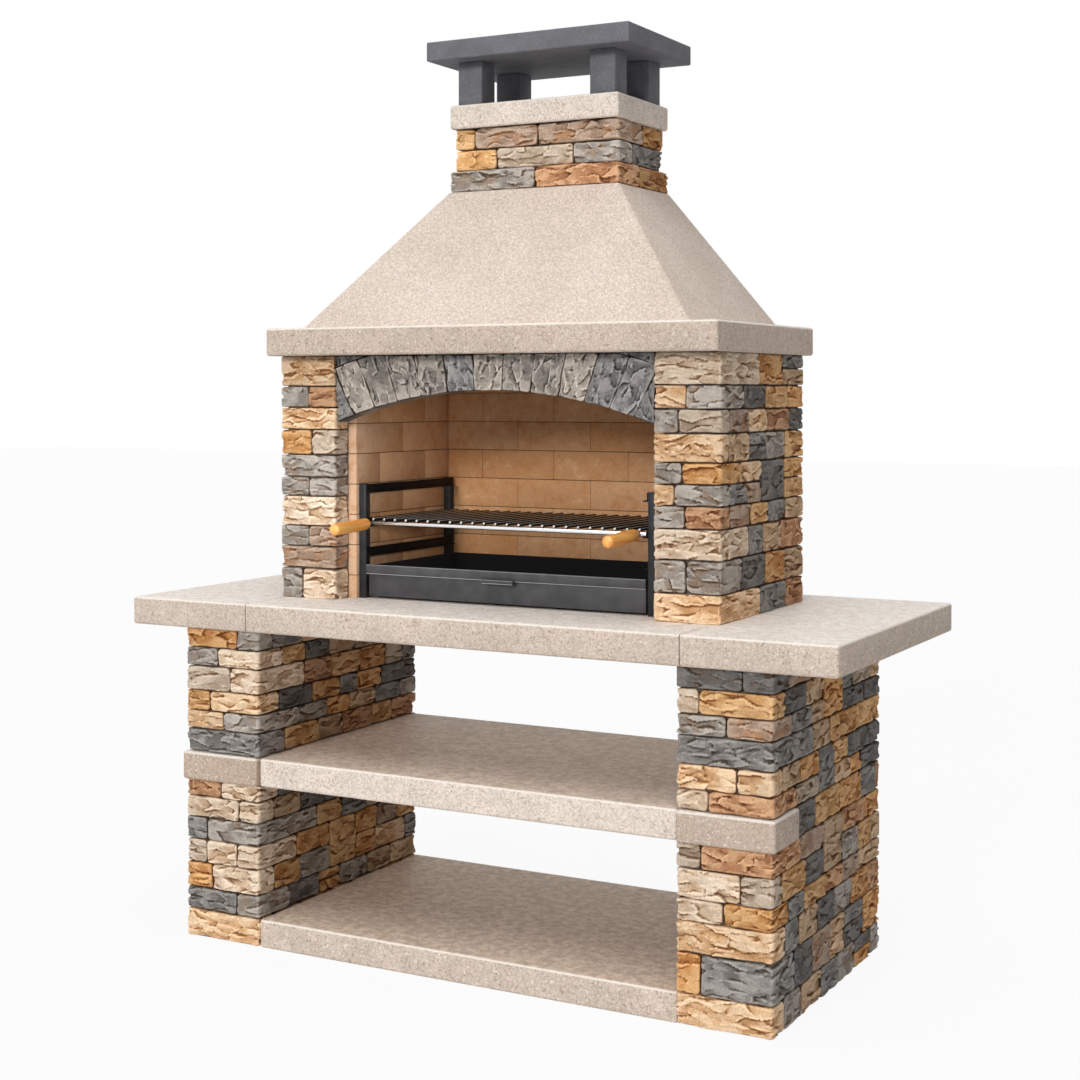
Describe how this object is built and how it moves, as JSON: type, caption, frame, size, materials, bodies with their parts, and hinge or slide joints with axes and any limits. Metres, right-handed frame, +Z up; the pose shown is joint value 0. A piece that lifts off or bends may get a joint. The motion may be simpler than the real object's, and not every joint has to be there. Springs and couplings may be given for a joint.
{
  "type": "masonry barbecue",
  "caption": "Free-standing masonry barbecue: stone-clad pedestals with shelves and a worktop, a brick-lined firebox with sliding grill and ember tray, arch, hood and chimney.",
  "frame": {"origin": "on the floor, at the middle of the overall width and of the worktop's depth", "axes": "+Z up, +X to the right seen from the front, the front of the barbecue faces -Y"},
  "size_m": [1.885, 0.855, 2.273],
  "materials": {
    "cast_stone": "matte, lightly speckled",
    "core_concrete": "matte",
    "facing_stone": "split face",
    "firebrick": "matte",
    "arch_slate": "chiselled",
    "hood_render": "fine-grained render",
    "cowl_stone": "matte",
    "black_steel": "satin",
    "grill_chrome": "bright",
    "grill_steel": "satin",
    "handle_wood": "varnished"
  },
  "bodies": {
    "masonry": {"left_pedestal_core": "core_concrete", "right_pedestal_core": "core_concrete", "left_pier_core": "core_concrete", "right_pier_core": "core_concrete", "rear_wall": "core_concrete", "chimney_flue_block": "core_concrete", "left_pedestal_front_stones": "facing_stone", "left_pedestal_outer_stones": "facing_stone", "left_pedestal_inner_stones": "facing_stone", "left_pedestal_rear_stones": "facing_stone", "right_pedestal_front_stones": "facing_stone", "right_pedestal_outer_stones": "facing_stone", "right_pedestal_inner_stones": "facing_stone", "right_pedestal_rear_stones": "facing_stone", "left_pier_front_stones": "facing_stone", "left_pier_outer_stones": "facing_stone", "right_pier_front_stones": "facing_stone", "right_pier_outer_stones": "facing_stone", "chimney_stones": "facing_stone", "left_bearer_block": "cast_stone", "right_bearer_block": "cast_stone", "bottom_shelf": "cast_stone", "middle_shelf": "cast_stone", "worktop_left": "cast_stone", "worktop_centre": "cast_stone", "worktop_right": "cast_stone", "mantel_slab": "cast_stone", "chimney_cap": "cast_stone", "left_firebricks": "firebrick", "right_firebricks": "firebrick", "rear_firebricks": "firebrick", "arch_voussoirs": "arch_slate", "arch_springers": "arch_slate", "arch_spandrels": "arch_slate", "hood": "hood_render", "cowl_posts": "cowl_stone", "cowl_slab": "cowl_stone", "left_rack_posts": "black_steel", "left_rack_rails": "black_steel", "right_rack_posts": "black_steel", "right_rack_rails": "black_steel"},
    "grill": {"grill_front_rod": "grill_chrome", "grill_rear_rod": "grill_steel", "grill_bars": "grill_steel", "grill_handle_stems": "grill_steel", "grill_handle_ferrules": "black_steel", "grill_left_handle": "handle_wood", "grill_right_handle": "handle_wood"},
    "tray": {"tray_pan": "black_steel", "tray_runners": "black_steel", "tray_front_rim": "black_steel", "tray_pull": "black_steel"}
  },
  "joints": [
    {"name": "grill_slide", "type": "slide", "parent": "masonry", "child": "grill", "axis": [0, -1, 0], "range_m": [0, 0.415]},
    {"name": "tray_slide", "type": "slide", "parent": "masonry", "child": "tray", "axis": [0, -1, 0], "range_m": [0, 0.4]}
  ]
}
